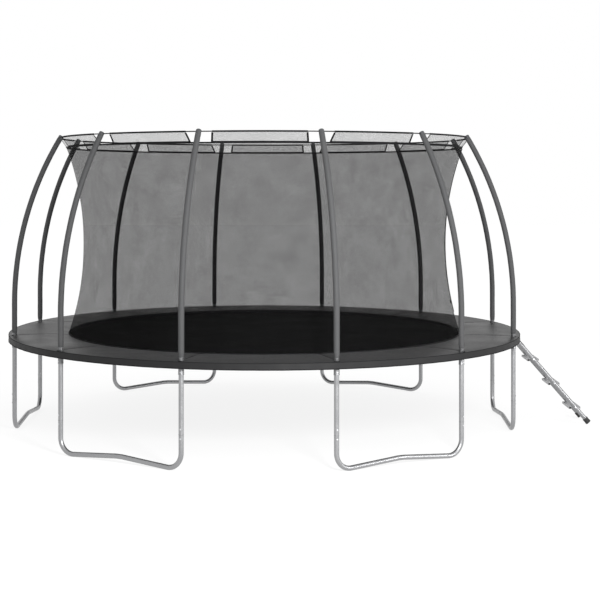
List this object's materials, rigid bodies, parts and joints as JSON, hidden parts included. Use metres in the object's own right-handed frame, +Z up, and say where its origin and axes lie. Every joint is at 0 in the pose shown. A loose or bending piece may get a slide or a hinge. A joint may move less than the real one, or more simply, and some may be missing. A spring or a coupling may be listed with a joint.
{
  "type": "trampoline",
  "caption": "Round garden trampoline with a safety net on curved padded poles, W-shaped feet, a dark safety pad and a hook-on ladder with flat treads.",
  "frame": {"origin": "on the ground under the centre of the mat", "axes": "+X towards the ladder, +Z up"},
  "size_m": [5.6322, 4.948, 2.79],
  "materials": {
    "steel_tube": "galvanised steel tube, satin",
    "ladder_tube": "galvanised steel tube, satin",
    "ladder_hook": "bent steel strap, satin",
    "tread_sheet": "folded galvanised sheet, satin",
    "black_rubber": "matt black rubber",
    "pole_cloth": "dark grey padded sleeve, matt",
    "cap_plastic": "black moulded plastic, matt",
    "ring_rod": "black glass-fibre rod, smooth",
    "flap_cloth": "fine grey mesh cloth",
    "hem_webbing": "black webbing, matt",
    "net_mesh": "fine dark mesh, see-through",
    "zip_tape": "black zip tape, matt",
    "zip_metal": "black coated zip metal",
    "mat_cloth": "black woven mat, matt",
    "spring_steel": "galvanised spring wire",
    "pad_vinyl": "dark grey coated cloth over foam, satin",
    "skirt_cloth": "dark grey coated cloth, satin"
  },
  "bodies": {
    "frame": {"door_zip": "zip_tape", "enclosure_net": "net_mesh", "frame_rail_01": "steel_tube", "frame_rail_02": "steel_tube", "frame_rail_03": "steel_tube", "frame_rail_04": "steel_tube", "frame_rail_05": "steel_tube", "frame_rail_06": "steel_tube", "frame_rail_07": "steel_tube", "frame_rail_08": "steel_tube", "frame_rail_09": "steel_tube", "frame_rail_10": "steel_tube", "frame_rail_11": "steel_tube", "frame_rail_12": "steel_tube", "net_flaps": "flap_cloth", "net_foot_hem": "hem_webbing", "net_top_hem": "hem_webbing", "pad_skirt": "skirt_cloth", "pole_caps": "cap_plastic", "pole_sleeve_01": "pole_cloth", "pole_sleeve_02": "pole_cloth", "pole_sleeve_03": "pole_cloth", "pole_sleeve_04": "pole_cloth", "pole_sleeve_05": "pole_cloth", "pole_sleeve_06": "pole_cloth", "pole_sleeve_07": "pole_cloth", "pole_sleeve_08": "pole_cloth", "pole_sleeve_09": "pole_cloth", "pole_sleeve_10": "pole_cloth", "pole_sleeve_11": "pole_cloth", "pole_sleeve_12": "pole_cloth", "pole_tubes": "steel_tube", "safety_pad": "pad_vinyl", "skirt_at_ladder": "skirt_cloth", "springs": "spring_steel", "tee_joints": "steel_tube", "top_ring_rods": "ring_rod", "upper_legs": "steel_tube", "w_foot_1": "steel_tube", "w_foot_2": "steel_tube", "w_foot_3": "steel_tube", "w_foot_4": "steel_tube", "w_foot_5": "steel_tube", "w_foot_6": "steel_tube"},
    "mat": {"jumping_mat": "mat_cloth"},
    "ladder": {"ladder_boots": "black_rubber", "ladder_hook_left": "ladder_hook", "ladder_hook_right": "ladder_hook", "ladder_side_left": "ladder_tube", "ladder_side_right": "ladder_tube", "ladder_stops": "black_rubber", "ladder_tread_1": "tread_sheet", "ladder_tread_2": "tread_sheet", "ladder_tread_3": "tread_sheet"},
    "zip_slider": {"zip_slider": "zip_metal", "zip_pull": "zip_metal"}
  },
  "joints": [
    {"name": "mat_bounce", "type": "slide", "parent": "frame", "child": "mat", "axis": [0, 0, 1], "range_m": [-0.4, 0], "stiffness_N_per_m": 4500, "springref_m": 0.05, "deforming": ["springs"]},
    {"name": "ladder_swing", "type": "hinge", "parent": "frame", "child": "ladder", "pos_m": [2.41245, 0, 0.86], "axis": [0, -1, 0], "range_deg": [0, 45], "deforming": ["skirt_at_ladder"]},
    {"name": "zip_run", "type": "hinge", "parent": "frame", "child": "zip_slider", "pos_m": [4.37127, -0.57549, 1.7487], "axis": [0.1305, 0.9914, 0], "range_deg": [0, 29.6]}
  ]
}
